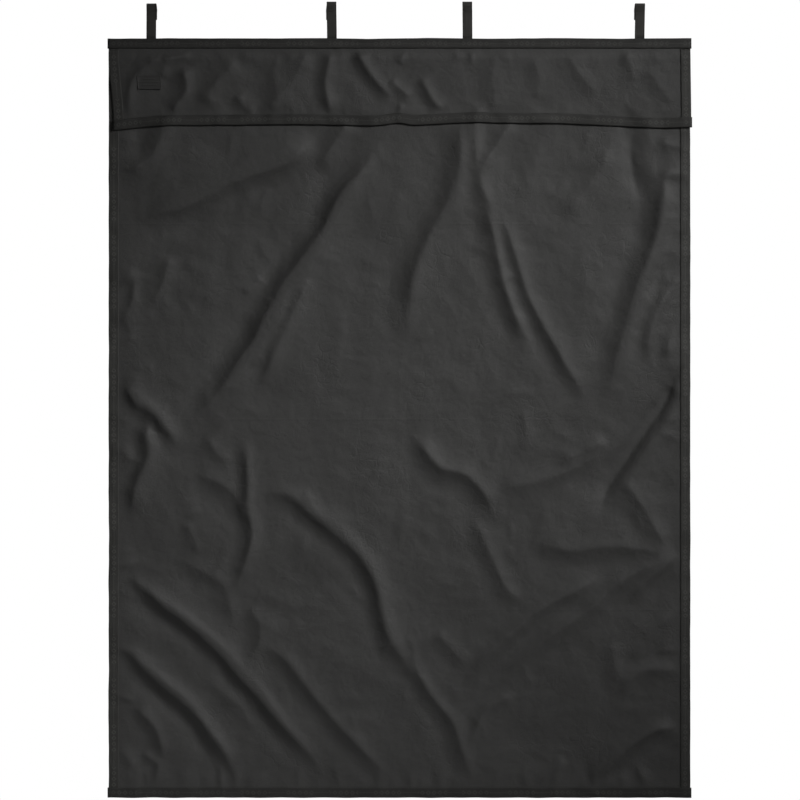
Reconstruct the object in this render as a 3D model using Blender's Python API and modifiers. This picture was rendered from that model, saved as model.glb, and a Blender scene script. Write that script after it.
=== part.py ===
# Stable stall curtain: a bound cloth panel with a short flap over its top, hung from a rail by four webbing
# straps whose free ends close with touch fastener.
# Metres, +Z up. The front faces -Y, and the rail's axis is the X axis.
import math

import bmesh
import bpy
from mathutils import Matrix, Vector

# Driving dimensions
GAP = 0.0003  # clearance between neighbouring solids
CLOTH_T = 0.001
TAPE_T = 0.001
TAPE_W = 0.026  # width of binding tape on each face
WEBBING_T = 0.0016
WEBBING_W = 0.025
PATCH_T = 0.001  # touch-fastener patch
PATCH_W = 0.022
PATCH_H = 0.018

CURTAIN_W = 1.497  # over the side bindings
CURTAIN_H = 1.954
TAPE_RUN = 1.502  # length of the top and bottom bindings
FLAP_DEPTH = 0.226  # from the curtain's top edge to the flap's lower edge
FLAP_STAND_OFF = 0.0045  # from the main panel's mid-plane to the flap's

STRAP_X = (-0.639, -0.174, 0.175, 0.618)
STRAP_RISE = 0.0935  # strap tops above the curtain's top edge
TAB_DROP = 0.045  # free end's length, measured down from the strap's top
EYE_R = 0.007  # inside radius of the strap's eye
EYE_STEP = math.radians(22.5)  # one facet of the eye, with a facet centred on its top
EYE_CLOSE = 0.018  # depth below the rail's axis where the two legs come together
ANCHOR_INSET = 0.002  # sewn end's distance above the top binding's lower edge

LABEL_SIZE = (0.0625, 0.001, 0.036)
LABEL_CORNER = (0.070, 0.095)  # label's upper left corner, in from the curtain's side and down from its top

# How far the ends of two strap pieces stop short of the hinge line between them
SWING_GAP = 0.001
PEEL_GAP = 0.0018

# Worked-out places
LEG_Y = (WEBBING_T + 2 * PATCH_T + 3 * GAP) / 2  # half the spread of a strap's two legs
PANEL_Y = -LEG_Y - WEBBING_T / 2 - 2 * GAP - TAPE_T - CLOTH_T / 2
FLAP_Y = PANEL_Y - FLAP_STAND_OFF
FOLD_Y = CLOTH_T / 2 + GAP + TAPE_T / 2  # from cloth mid-plane to the middle of a binding leg
TOP_Z = EYE_R + WEBBING_T - STRAP_RISE
BOTTOM_Z = TOP_Z - CURTAIN_H
TAPE_EDGE_Z = TOP_Z - TAPE_W
FLAP_BOTTOM_Z = TOP_Z - FLAP_DEPTH
HALF_W = CURTAIN_W / 2
EDGE_SETBACK = TAPE_T + GAP  # from a binding's outer edge to the cloth inside it
SWING_Z = TOP_Z + 0.003
EYE_MID_R = EYE_R + WEBBING_T / 2
PEEL_ANGLE = 1.5 * EYE_STEP  # hinge line of a tab, behind the eye's top


def clear_scene():
    for obj in list(bpy.data.objects):
        bpy.data.objects.remove(obj, do_unlink=True)


def make_material(name, color, roughness):
    material = bpy.data.materials.new(name)
    material.use_nodes = True
    shader = material.node_tree.nodes["Principled BSDF"]
    shader.inputs["Base Color"].default_value = (*color, 1.0)
    shader.inputs["Roughness"].default_value = roughness
    shader.inputs["Metallic"].default_value = 0.0
    return material


def make_pivot(name, location):
    pivot = bpy.data.objects.new(name, None)
    pivot.empty_display_size = 0.05
    pivot.location = location
    part_collection.objects.link(pivot)
    return pivot


def add_node(name, mesh, material, pivot, location):
    obj = bpy.data.objects.new(name, mesh)
    mesh.materials.append(material)
    part_collection.objects.link(obj)
    obj.parent = pivot
    obj.location = Vector(location) - pivot.location
    return obj


def slab(name, size, center, material, pivot):
    """A flat box of the given size, centred on a world point."""
    mesh = bpy.data.meshes.new(name)
    bm = bmesh.new()
    bmesh.ops.create_cube(bm, size=1.0, matrix=Matrix.Diagonal((*size, 1.0)))
    bm.to_mesh(mesh)
    bm.free()
    return add_node(name, mesh, material, pivot, center)


def swept_strip(name, profile, axis, reach, thickness, material, pivot):
    """A thin folded strip: an open profile of world points, swept by reach along axis, then thickened."""
    origin = profile[0]
    sweep = Vector(axis) * reach
    mesh = bpy.data.meshes.new(name)
    bm = bmesh.new()
    verts = [bm.verts.new(point - origin - sweep / 2) for point in profile]
    edges = [bm.edges.new(pair) for pair in zip(verts, verts[1:])]
    grown = bmesh.ops.extrude_edge_only(bm, edges=edges)["geom"]
    moved = [item for item in grown if isinstance(item, bmesh.types.BMVert)]
    bmesh.ops.translate(bm, vec=sweep, verts=moved)
    bm.to_mesh(mesh)
    bm.free()
    obj = add_node(name, mesh, material, pivot, origin)
    solidify = obj.modifiers.new("thickness", "SOLIDIFY")
    solidify.thickness = thickness
    solidify.offset = 0.0
    solidify.use_even_offset = True
    return obj


def binding_profile(edge, inward, cloth_y):
    """U section of a binding: front leg, web along the cloth's edge, back leg.

    edge is a point on the binding's outer edge, inward points from it into the cloth.
    """
    outer = edge + inward * TAPE_T / 2
    inner = edge + inward * TAPE_W
    front = Vector((0, cloth_y - FOLD_Y, 0))
    back = Vector((0, cloth_y + FOLD_Y, 0))
    return [inner + front, outer + front, outer + back, inner + back]


def horizontal_binding(name, z, inward_z, length, cloth_y, material, pivot):
    profile = binding_profile(Vector((0, 0, z)), Vector((0, 0, inward_z)), cloth_y)
    return swept_strip(name, profile, (1, 0, 0), length, TAPE_T, material, pivot)


def vertical_binding(name, side, z_low, z_high, cloth_y, material, pivot):
    edge = Vector((side * HALF_W, 0, (z_low + z_high) / 2))
    profile = binding_profile(edge, Vector((-side, 0, 0)), cloth_y)
    return swept_strip(name, profile, (0, 0, 1), z_high - z_low, TAPE_T, material, pivot)


def make_main_sheet(pivot):
    top = TOP_Z - EDGE_SETBACK
    bottom = BOTTOM_Z + EDGE_SETBACK
    width = CURTAIN_W - 2 * EDGE_SETBACK
    slab("main_panel", (width, CLOTH_T, top - bottom), (0, PANEL_Y, (top + bottom) / 2), cloth, pivot)
    horizontal_binding("top_binding", TOP_Z, -1, TAPE_RUN, PANEL_Y, tape, pivot)
    horizontal_binding("bottom_binding", BOTTOM_Z, 1, TAPE_RUN, PANEL_Y, tape, pivot)
    side_top = TOP_Z - TAPE_W - GAP
    side_bottom = BOTTOM_Z + TAPE_W + GAP
    for name, side in (("left_binding", -1), ("right_binding", 1)):
        vertical_binding(name, side, side_bottom, side_top, PANEL_Y, tape, pivot)


def make_flap(pivot):
    top = TAPE_EDGE_Z - 0.001  # clear of the hinge line
    bottom = FLAP_BOTTOM_Z + EDGE_SETBACK
    width = CURTAIN_W - 2 * EDGE_SETBACK
    slab("flap_panel", (width, CLOTH_T, top - bottom), (0, FLAP_Y, (top + bottom) / 2), cloth, pivot)
    horizontal_binding("flap_bottom_binding", FLAP_BOTTOM_Z, 1, TAPE_RUN, FLAP_Y, tape, pivot)
    side_bottom = FLAP_BOTTOM_Z + TAPE_W + GAP
    for name, side in (("flap_left_binding", -1), ("flap_right_binding", 1)):
        vertical_binding(name, side, side_bottom, top, FLAP_Y, tape, pivot)
    label_x = -HALF_W + LABEL_CORNER[0] + LABEL_SIZE[0] / 2
    label_y = FLAP_Y - CLOTH_T / 2 - GAP - LABEL_SIZE[1] / 2
    label_z = TOP_Z - LABEL_CORNER[1] - LABEL_SIZE[2] / 2
    slab("label_patch", LABEL_SIZE, (label_x, label_y, label_z), label, pivot)


def eye_point(x, angle):
    """A point of the eye's centreline; angle runs from the top towards the back."""
    return Vector((x, EYE_MID_R * math.sin(angle), EYE_MID_R * math.cos(angle)))


def make_strap(index, x, curtain_pivot, hanger_pivot):
    anchor_low = TAPE_EDGE_Z + ANCHOR_INSET
    anchor_high = SWING_Z - SWING_GAP
    anchor_size = (WEBBING_W, WEBBING_T, anchor_high - anchor_low)
    anchor_at = (x, -LEG_Y, (anchor_low + anchor_high) / 2)
    slab(f"strap_anchor_{index}", anchor_size, anchor_at, webbing, curtain_pivot)

    # Standing leg: up from the swing line, round the front of the eye and over its top
    arc = [eye_point(x, step * EYE_STEP / 2) for step in range(-9, 2, 2)]
    peel_at = eye_point(x, PEEL_ANGLE)
    over_top = peel_at - (peel_at - arc[-1]).normalized() * PEEL_GAP
    leg = [Vector((x, -LEG_Y, SWING_Z + SWING_GAP)), Vector((x, -LEG_Y, -EYE_CLOSE))]
    leg_path = leg + arc + [over_top]
    swept_strip(f"strap_{index}", leg_path, (1, 0, 0), WEBBING_W, WEBBING_T, webbing, hanger_pivot)

    # Tab: down the back of the eye, then flat behind the leg
    peel_pivot = make_pivot(f"strap_{index}_open_axis", peel_at)
    back_arc = [eye_point(x, step * EYE_STEP / 2) for step in (5, 7, 9)]
    start = peel_at + (back_arc[0] - peel_at).normalized() * PEEL_GAP
    tab_end_z = EYE_R + WEBBING_T - TAB_DROP
    tail = [Vector((x, LEG_Y, -EYE_CLOSE)), Vector((x, LEG_Y, tab_end_z))]
    tab_path = [start] + back_arc + tail
    swept_strip(f"tab_{index}", tab_path, (1, 0, 0), WEBBING_W, WEBBING_T, webbing, peel_pivot)

    # Touch fastener: loop side on the leg, hook side on the tab
    patch_size = (PATCH_W, PATCH_T, PATCH_H)
    patch_z = -EYE_CLOSE - PATCH_H / 2
    patch_y = (GAP + PATCH_T) / 2
    slab(f"loop_patch_{index}", patch_size, (x, -patch_y, patch_z), loop_pile, hanger_pivot)
    slab(f"hook_patch_{index}", patch_size, (x, patch_y, patch_z), hook_pile, peel_pivot)


clear_scene()
part_collection = bpy.data.collections.new("stall_curtain")
bpy.context.scene.collection.children.link(part_collection)

cloth = make_material("coated_cloth", (0.037, 0.037, 0.036), 0.55)
tape = make_material("binding_tape", (0.024, 0.024, 0.022), 0.7)
webbing = make_material("strap_webbing", (0.021, 0.02, 0.018), 0.75)
label = make_material("label_patch", (0.03, 0.03, 0.029), 0.5)
loop_pile = make_material("loop_pile", (0.012, 0.012, 0.012), 0.95)
hook_pile = make_material("hook_pile", (0.014, 0.014, 0.014), 0.6)

hangers = make_pivot("rail_axis", (0, 0, 0))
curtain_swing = make_pivot("curtain_swing_axis", (0, -LEG_Y, SWING_Z))
flap_lift = make_pivot("flap_lift_axis", (0, FLAP_Y, TAPE_EDGE_Z))

make_main_sheet(curtain_swing)
make_flap(flap_lift)
for number, strap_x in enumerate(STRAP_X, start=1):
    make_strap(number, strap_x, curtain_swing, hangers)
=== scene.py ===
import math
from functools import partial

import bmesh
import bpy
import numpy as np
from mathutils import Matrix, Vector


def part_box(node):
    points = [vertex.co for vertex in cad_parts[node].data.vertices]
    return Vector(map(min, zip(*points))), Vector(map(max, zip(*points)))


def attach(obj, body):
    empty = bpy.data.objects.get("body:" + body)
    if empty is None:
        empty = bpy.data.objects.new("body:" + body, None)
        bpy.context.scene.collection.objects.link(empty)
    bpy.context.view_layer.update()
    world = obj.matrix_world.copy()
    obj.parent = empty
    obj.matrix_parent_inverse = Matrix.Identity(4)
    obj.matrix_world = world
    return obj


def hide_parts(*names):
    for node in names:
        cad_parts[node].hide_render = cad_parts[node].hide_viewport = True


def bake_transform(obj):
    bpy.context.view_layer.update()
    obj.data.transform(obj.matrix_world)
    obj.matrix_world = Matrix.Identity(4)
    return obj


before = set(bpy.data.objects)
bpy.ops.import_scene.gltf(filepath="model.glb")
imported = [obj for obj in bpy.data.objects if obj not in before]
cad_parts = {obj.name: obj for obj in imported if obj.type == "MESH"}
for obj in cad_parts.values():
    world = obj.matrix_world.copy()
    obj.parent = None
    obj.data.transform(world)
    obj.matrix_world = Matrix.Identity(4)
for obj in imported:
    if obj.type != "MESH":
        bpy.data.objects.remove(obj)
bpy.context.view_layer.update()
print("frame loaded,", len(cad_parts), "nodes")

topLow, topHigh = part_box("top_binding")
panelLow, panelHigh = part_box("main_panel")
flapLow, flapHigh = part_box("flap_panel")
strapLow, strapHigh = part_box("strap_1")

# Places read from the frame. Depths are measured down from the curtain's top edge.
place = {
    "topZ": topHigh.z,
    "height": topHigh.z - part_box("bottom_binding")[0].z,
    "halfWidth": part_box("right_binding")[1].x,
    "halfRun": topHigh.x,
    "tapeWidth": topHigh.z - topLow.z,
    "clothY": (panelLow.y + panelHigh.y) / 2,
    "flapY": (flapLow.y + flapHigh.y) / 2,
    "halfWebbing": (strapHigh.x - strapLow.x) / 2,
    "swingZ": topHigh.z + 0.003,  # the line about which the curtain swings
}


# The surface functions all take numpy arrays of x (across) and d (depth).
def ease(t):
    t = np.clip(t, 0.0, 1.0)
    return t * t * (3 - 2 * t)


def grow(distance, share, start, over):
    # a share of 1 up to the start, then rising to 1 over a further distance
    return share + (1 - share) * ease((distance - start) / over)


def softNoise(x, d, cell, seed):
    # smooth random waves, about -1 to 1, with cells of one size
    angles = np.random.default_rng(seed).uniform(0, 2 * np.pi, (128, 128))
    u, v = x / cell + 64, d / cell + 64
    i, j = np.floor(u).astype(int), np.floor(v).astype(int)
    fu, fv = u - i, v - j
    wu = fu**3 * (fu * (6 * fu - 15) + 10)
    wv = fv**3 * (fv * (6 * fv - 15) + 10)
    total = 0.0
    for di, wi in ((0, 1 - wu), (1, wu)):
        for dj, wj in ((0, 1 - wv), (1, wv)):
            a = angles[(i + di) % 128, (j + dj) % 128]
            total = total + wi * wj * (np.cos(a) * (fu - di) + np.sin(a) * (fv - dj))
    return 1.6 * total


def smoothRoute(points, step=0.012):
    # a Catmull-Rom curve through the given points
    points = np.array(points, float)
    ends = np.vstack([2 * points[0] - points[1], points, 2 * points[-1] - points[-2]])
    runs = []
    for k in range(len(points) - 1):
        a, b, c, e = ends[k : k + 4]
        count = max(2, int(np.linalg.norm(c - b) / step))
        t = np.linspace(0, 1, count, endpoint=False)[:, None]
        cubic = 2 * b + (c - a) * t + (2 * a - 5 * b + 4 * c - e) * t**2
        runs.append(0.5 * (cubic + (3 * b - a - 3 * c + e) * t**3))
    return np.vstack(runs + [points[-1:]])


# The key light also says which side of each fold is lit.
keyLight = {
    "at": (3.2, -3.2, 1.7),
    "aim": (-0.14, 0, -1.12),
    "size": 1.3,
    "power": 15,
    "spread": 38,
}


foldShape = {
    "heightGain": 1.25,
    "crest": 0.8,  # how far the crest is from the shaded line, in shaded widths
    "sharpness": 1.5,
    "shoulder": (0.30, 2.6),  # height, width of the wide base
    "trough": (0.36, 2.7, 1.6),  # depth, distance and width of the dip on the shaded side
}


def addFold(rise, x, d, fold, fadeIn=0.2, fadeOut=0.3, gain=1.0):
    # A fold is (height in mm, shaded flank in mm, lit flank in mm, route of its shaded line).
    # A negative height is a valley.
    gains = (foldShape["heightGain"] * gain, gain, gain)
    height, shaded, lit = (v * g / 1000 for v, g in zip(fold[:3], gains))
    route = smoothRoute(fold[3])
    reach = 4.5 * max(shaded, lit)
    low, high = route.min(0) - reach, route.max(0) + reach
    near = np.nonzero((x > low[0]) & (x < high[0]) & (d > low[1]) & (d < high[1]))[0]
    if not len(near):
        return
    px, pd = x[near], d[near]
    best = np.full(len(near), 1e9)
    side = np.ones(len(near))
    along = np.zeros(len(near))
    steps = np.linalg.norm(np.diff(route, axis=0), axis=1)
    total, walked = steps.sum(), 0.0
    for (ax, ad), (bx, bd), length in zip(route, route[1:], steps):
        ux, ud = (bx - ax) / length, (bd - ad) / length
        t = np.clip((px - ax) * ux + (pd - ad) * ud, 0, length)
        dx, dd = px - ax - t * ux, pd - ad - t * ud
        gap = dx * dx + dd * dd
        closer = gap < best
        best = np.where(closer, gap, best)
        side = np.where(closer, np.sign(ux * dd - ud * dx), side)
        along = np.where(closer, (walked + t) / total, along)
        walked += length
    chord = route[-1] - route[0]
    middle = route[len(route) // 2]
    toLight = keyLight["at"][0] - middle[0], place["topZ"] - middle[1] - keyLight["at"][2]
    litSide = 1 if chord[0] * toLight[1] - chord[1] * toLight[0] > 0 else -1
    off = np.sqrt(best) * side * litSide - foldShape["crest"] * shaded * np.sign(height)
    width = np.where((off < 0) == (height > 0), shaded, lit)
    fade = ease(along / fadeIn) * ease((1 - along) / fadeOut)
    ridge = np.exp(-((np.abs(off) / width) ** foldShape["sharpness"]))
    tall, wide = foldShape["shoulder"]
    shoulder = tall * np.exp(-((off / (wide * width)) ** 2))
    deep, away, wide = foldShape["trough"]
    trough = deep * np.exp(-(((off * np.sign(height) + away * shaded) / (wide * shaded)) ** 2))
    rise[near] += height * fade * (ridge + shoulder - trough)


mainSheet = {
    "cell": 0.0045,
    "triangles": 96000,  # one face of the cloth
    "thickness": 0.0009,
    "gain": 1.35,
    "broad": ((0.42, 0.0045, 11), (0.19, 0.0030, 12), (0.09, 0.0016, 13), (0.045, 0.0005, 14)),
    "crumple": ((0.080, 0.0008, 21), (0.036, 0.0003, 22)),
    "edges": (0.22, 0.018, 0.06),  # share of the rise at a binding, growing from here, over this far
    "underFlap": (0.12, 0.08, 0.16),  # the same down from the top edge
    "free": (0.004, 0.0055, 0.22, 0.08),  # rise not held back: at the top, added below, from, over
    "past": 0.005,  # the most that a held rise goes past that
    "puckers": {
        "seed": 5,
        "sides": ((-1, 46), (1, 34)),  # side, how many
        "foot": 60,
        "from": 0.25,  # below the flap
        "inset": 0.004,
        "reach": (0.05, 0.11),
        "heights": (1.2, 3.2),
        "footHeights": (1.2, 3.0),
        "widths": (7, 11),
        "footWidths": (7, 10),
        "slant": 0.018,
        "footSlant": 0.014,
    },
    "stray": (9, 130, (-0.7, 0.27), (0.7, 1.88), (0.35, 1.1), (0.04, 0.13)),
    "folds": [
        (10.5, 14, 18, [(-0.055, 0.25), (-0.085, 0.3), (-0.153, 0.395), (-0.212, 0.5), (-0.258, 0.568),
         (-0.305, 0.63), (-0.335, 0.69), (-0.38, 0.775), (-0.41, 0.815), (-0.455, 0.88), (-0.52, 0.945),
         (-0.58, 1.01)]),
        (4.5, 10, 12, [(-0.235, 0.6), (-0.258, 0.65), (-0.295, 0.725), (-0.34, 0.83), (-0.38, 0.91)]),
        (10.0, 14, 28, [(-0.20, 0.26), (-0.275, 0.32), (-0.425, 0.375), (-0.565, 0.445), (-0.7, 0.485)]),
        (3.5, 12, 16, [(-0.14, 0.2), (-0.16, 0.235), (-0.19, 0.28), (-0.225, 0.34)]),
        (4.0, 14, 18, [(-0.6, 0.17), (-0.62, 0.235), (-0.65, 0.295), (-0.7, 0.325), (-0.74, 0.33)]),
        (1.6, 7, 9, [(-0.36, 0.605), (-0.385, 0.635), (-0.41, 0.65)]),
        (2.6, 12, 14, [(-0.6, 0.55), (-0.62, 0.62), (-0.655, 0.695)]),
        (2.8, 8, 10, [(-0.69, 0.605), (-0.695, 0.665), (-0.72, 0.725), (-0.7, 0.755), (-0.71, 0.795)]),
        (6.5, 10, 15, [(-0.73, 0.895), (-0.705, 0.915), (-0.685, 0.94), (-0.635, 0.975), (-0.57, 1.065)]),
        (5.2, 10, 14, [(-0.635, 0.975), (-0.66, 1.01), (-0.655, 1.07), (-0.685, 1.145), (-0.7, 1.205),
         (-0.695, 1.245)]),
        (2.4, 12, 14, [(-0.51, 1.025), (-0.475, 1.08), (-0.425, 1.105)]),
        (4.5, 9, 14, [(-0.41, 1.02), (-0.4, 1.12), (-0.4, 1.205), (-0.39, 1.255), (-0.392, 1.3),
         (-0.415, 1.375), (-0.455, 1.44)]),
        (2.6, 11, 14, [(-0.535, 1.13), (-0.465, 1.155), (-0.425, 1.195), (-0.41, 1.26)]),
        (1.8, 10, 12, [(-0.56, 1.245), (-0.535, 1.3), (-0.525, 1.34)]),
        (2.4, 11, 15, [(-0.575, 1.35), (-0.535, 1.37), (-0.48, 1.4), (-0.455, 1.43), (-0.435, 1.54)]),
        (2.0, 10, 12, [(-0.4, 1.46), (-0.368, 1.52), (-0.385, 1.58), (-0.41, 1.61)]),
        (6.5, 11, 18, [(-0.38, 1.185), (-0.33, 1.18), (-0.28, 1.19), (-0.225, 1.235), (-0.155, 1.29),
         (-0.1, 1.35), (-0.07, 1.41), (-0.055, 1.48), (-0.035, 1.55), (0.01, 1.62), (0.05, 1.7)]),
        (8.0, 10, 15, [(-0.73, 1.37), (-0.68, 1.41), (-0.61, 1.465), (-0.55, 1.51), (-0.475, 1.575),
         (-0.42, 1.64), (-0.365, 1.7), (-0.3, 1.78), (-0.23, 1.86), (-0.19, 1.935)]),
        (8.0, 10, 15, [(-0.73, 1.565), (-0.695, 1.595), (-0.64, 1.645), (-0.575, 1.7), (-0.53, 1.745),
         (-0.49, 1.8), (-0.455, 1.85), (-0.42, 1.935)]),
        (4.0, 10, 15, [(-0.37, 1.545), (-0.345, 1.57), (-0.29, 1.615), (-0.235, 1.69), (-0.19, 1.745),
         (-0.11, 1.83), (-0.04, 1.9), (0.0, 1.935)]),
        (4.2, 10, 13, [(0.02, 1.58), (0.04, 1.64), (0.08, 1.705), (0.128, 1.764), (0.15, 1.833),
         (0.188, 1.935)]),
        (2.4, 12, 14, [(0.08, 1.53), (0.13, 1.585), (0.175, 1.63)]),
        (6.0, 15, 20, [(0.14, 0.16), (0.14, 0.335), (0.115, 0.415), (0.065, 0.5), (0.03, 0.585),
         (0.015, 0.65), (0.0, 0.75), (-0.01, 0.82)]),
        (4.0, 12, 12, [(0.285, 0.18), (0.26, 0.235), (0.215, 0.305), (0.195, 0.355), (0.21, 0.41),
         (0.245, 0.485)]),
        (5.0, 11, 13, [(0.2, 0.42), (0.225, 0.485), (0.25, 0.6), (0.27, 0.67), (0.3, 0.745), (0.34, 0.82)]),
        (4.0, 9, 15, [(0.245, 0.43), (0.275, 0.515), (0.32, 0.66), (0.36, 0.74), (0.4, 0.81), (0.43, 0.865),
         (0.475, 0.935), (0.5, 0.97)]),
        (3.0, 11, 14, [(0.185, 0.16), (0.185, 0.285), (0.185, 0.36)]),
        (3.5, 18, 22, [(0.53, 0.27), (0.495, 0.335), (0.445, 0.4), (0.395, 0.455)]),
        (2.2, 22, 25, [(0.36, 0.17), (0.345, 0.24), (0.315, 0.355)]),
        (-4.0, 13, 16, [(0.59, 0.16), (0.605, 0.235), (0.615, 0.335), (0.63, 0.43)]),
        (8.5, 15, 17, [(0.675, 0.3), (0.67, 0.365), (0.66, 0.455), (0.635, 0.545), (0.605, 0.63),
         (0.575, 0.74), (0.54, 0.845), (0.505, 0.93)]),
        (6.0, 12, 14, [(0.735, 0.57), (0.71, 0.61), (0.665, 0.67), (0.635, 0.745), (0.62, 0.84)]),
        (2.6, 9, 11, [(0.73, 0.69), (0.705, 0.73), (0.685, 0.78), (0.68, 0.85)]),
        (2.2, 10, 12, [(0.66, 0.25), (0.675, 0.275), (0.71, 0.34), (0.735, 0.37)]),
        (-9.5, 10, 17, [(0.745, 0.83), (0.72, 0.875), (0.695, 0.935), (0.65, 1.0), (0.595, 1.08),
         (0.55, 1.15), (0.52, 1.24)]),
        (2.4, 11, 13, [(0.54, 1.04), (0.47, 1.075), (0.41, 1.11)]),
        (3.2, 14, 17, [(0.25, 1.175), (0.305, 1.165), (0.41, 1.14), (0.51, 1.09), (0.56, 1.03)]),
        (5.0, 12, 17, [(0.02, 1.02), (0.05, 1.06), (0.1, 1.115), (0.165, 1.135), (0.215, 1.19),
         (0.24, 1.27)]),
        (3.0, 11, 13, [(0.17, 1.22), (0.19, 1.262), (0.225, 1.335), (0.262, 1.415), (0.3, 1.445),
         (0.34, 1.44)]),
        (3.2, 12, 16, [(0.33, 1.29), (0.365, 1.31), (0.445, 1.33), (0.54, 1.32), (0.665, 1.332),
         (0.73, 1.35)]),
        (3.2, 12, 16, [(0.56, 1.14), (0.585, 1.17), (0.62, 1.22), (0.65, 1.275), (0.69, 1.33)]),
        (4.4, 11, 13, [(0.54, 1.385), (0.47, 1.425), (0.375, 1.475), (0.295, 1.54), (0.215, 1.615),
         (0.18, 1.68)]),
        (4.2, 12, 13, [(0.73, 1.335), (0.66, 1.365), (0.58, 1.405), (0.495, 1.48), (0.42, 1.53),
         (0.34, 1.59), (0.26, 1.655)]),
        (2.8, 8, 9, [(0.3, 1.672), (0.25, 1.7), (0.215, 1.722), (0.189, 1.774), (0.165, 1.84)]),
        (3.4, 12, 14, [(0.735, 1.33), (0.705, 1.355), (0.64, 1.41), (0.595, 1.47)]),
        (3.0, 11, 13, [(0.735, 1.49), (0.68, 1.512), (0.634, 1.566), (0.59, 1.62)]),
        (3.0, 11, 13, [(0.735, 1.645), (0.68, 1.635), (0.63, 1.638), (0.595, 1.665), (0.58, 1.71)]),
        (1.8, 13, 13, [(0.535, 1.55), (0.54, 1.61), (0.545, 1.67)]),
        (6.5, 10, 14, [(0.735, 1.775), (0.7, 1.785), (0.654, 1.792), (0.595, 1.833), (0.536, 1.882),
         (0.48, 1.93)]),
        (2.4, 11, 14, [(0.44, 1.86), (0.385, 1.91), (0.36, 1.94)]),
        (3.4, 8, 11, [(-0.69, 1.72), (-0.67, 1.74), (-0.635, 1.78), (-0.62, 1.825), (-0.61, 1.87)]),
        (2.8, 7, 9, [(-0.67, 1.84), (-0.65, 1.855), (-0.628, 1.87), (-0.632, 1.895), (-0.63, 1.935)]),
        (3.0, 9, 11, [(-0.735, 1.83), (-0.72, 1.845), (-0.685, 1.89)]),
    ],
}


litShare = 1.3  # a small fold's lit flank against its shaded one


def seamPuckers(look):
    # short puckers that run in from the bindings, where the seam has drawn the cloth up
    rng = np.random.default_rng(look["seed"])
    found = []
    halfWidth, bottom = place["halfWidth"], place["height"]
    for side, count in look["sides"]:
        edge = side * (halfWidth - look["inset"])
        for d in rng.uniform(look["from"], bottom - 0.05, count):
            inner = side * (halfWidth - rng.uniform(*look["reach"]))
            height, width = rng.uniform(*look["heights"]), rng.uniform(*look["widths"])
            route = [(edge, d), (inner, d + rng.normal(0, look["slant"]))]
            found.append((height, width, width * litShare, route))
    for x in rng.uniform(-0.7, 0.7, look["foot"]):
        reach = bottom - rng.uniform(*look["reach"])
        height, width = rng.uniform(*look["footHeights"]), rng.uniform(*look["footWidths"])
        route = [(x, bottom - look["inset"]), (x + rng.normal(0, look["footSlant"]), reach)]
        found.append((height, width, width * litShare, route))
    return found


def strayFolds(seed, count, low, high, heights, lengths):
    # small loose folds between the big ones
    rng = np.random.default_rng(seed)
    found = []
    for _ in range(count):
        x, d = rng.uniform(low[0], high[0]), rng.uniform(low[1], high[1])
        heading, length = rng.uniform(0.5, 2.9), rng.uniform(*lengths)
        step = np.array([math.cos(heading), math.sin(heading)]) * length / 2
        bend = np.array([-step[1], step[0]]) * rng.uniform(-0.5, 0.5)
        middle = np.array([x, d])
        width = rng.uniform(6.5, 12)
        route = [tuple(middle - step), tuple(middle + bend), tuple(middle + step)]
        found.append((rng.uniform(*heights), width, width * litShare, route))
    return found


mainExtras = seamPuckers(mainSheet["puckers"]) + strayFolds(*mainSheet["stray"])


def mainRise(x, d):
    # how far the main sheet stands forward of its flat place
    shape = x.shape
    x, d = x.ravel(), d.ravel()
    rise = np.zeros(len(x))
    for fold in mainSheet["folds"]:
        addFold(rise, x, d, fold, gain=mainSheet["gain"])
    for fold in mainExtras:
        addFold(rise, x, d, fold, 0.15, 0.6)
    for cell, height, seed in mainSheet["broad"]:
        rise += height * softNoise(x, d, cell, seed)
    for cell, height, seed in mainSheet["crumple"]:
        bentX = x + 0.35 * cell * softNoise(x, d, 2 * cell, seed + 40)
        bentD = d + 0.35 * cell * softNoise(x, d, 2 * cell, seed + 50)
        rise += height * (0.5 - 2.2 * np.abs(softNoise(bentX, bentD, cell, seed)))
    sides = grow(place["halfWidth"] - np.abs(x), *mainSheet["edges"])
    foot = grow(place["height"] - d, *mainSheet["edges"])
    rise *= sides * foot * grow(d, *mainSheet["underFlap"])
    least, more, start, over = mainSheet["free"]
    free = least + more * ease((d - start) / over)
    beyond = mainSheet["past"] * np.tanh(np.maximum(np.abs(rise) - free, 0) / mainSheet["past"])
    rise = np.sign(rise) * (np.minimum(np.abs(rise), free) + beyond)
    return rise.reshape(shape)


def mainPoint(x, d, forward=0.0):
    # a point on the main sheet, or forward of it
    return x, place["clothY"] - mainRise(x, d) - forward, place["topZ"] - d


def gridPiece(name, columns, rows, shape, material, thickness=None):
    # a grid bent into place by shape(across, along), which gives x, y, z and the pattern's u, v
    bm = bmesh.new()
    bmesh.ops.create_grid(bm, x_segments=columns, y_segments=rows, size=0.5)
    mesh = bpy.data.meshes.new(name)
    bm.to_mesh(mesh)
    bm.free()
    flat = np.empty(len(mesh.vertices) * 3)
    mesh.vertices.foreach_get("co", flat)
    flat = flat.reshape(-1, 3)
    x, y, z, u, v = shape(flat[:, 0] + 0.5, flat[:, 1] + 0.5)
    mesh.vertices.foreach_set("co", np.stack([x, y, z], 1).astype(np.float32).ravel())
    corner = np.empty(len(mesh.loops), int)
    mesh.loops.foreach_get("vertex_index", corner)
    uv = mesh.uv_layers.new(name="pattern")
    uv.data.foreach_set("uv", np.stack([u, v], 1)[corner].astype(np.float32).ravel())
    obj = addPiece(name, mesh, material)
    if thickness:
        solid = obj.modifiers.new("thickness", "SOLIDIFY")
        solid.thickness = thickness
        solid.offset = 0.0
    return obj


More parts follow.
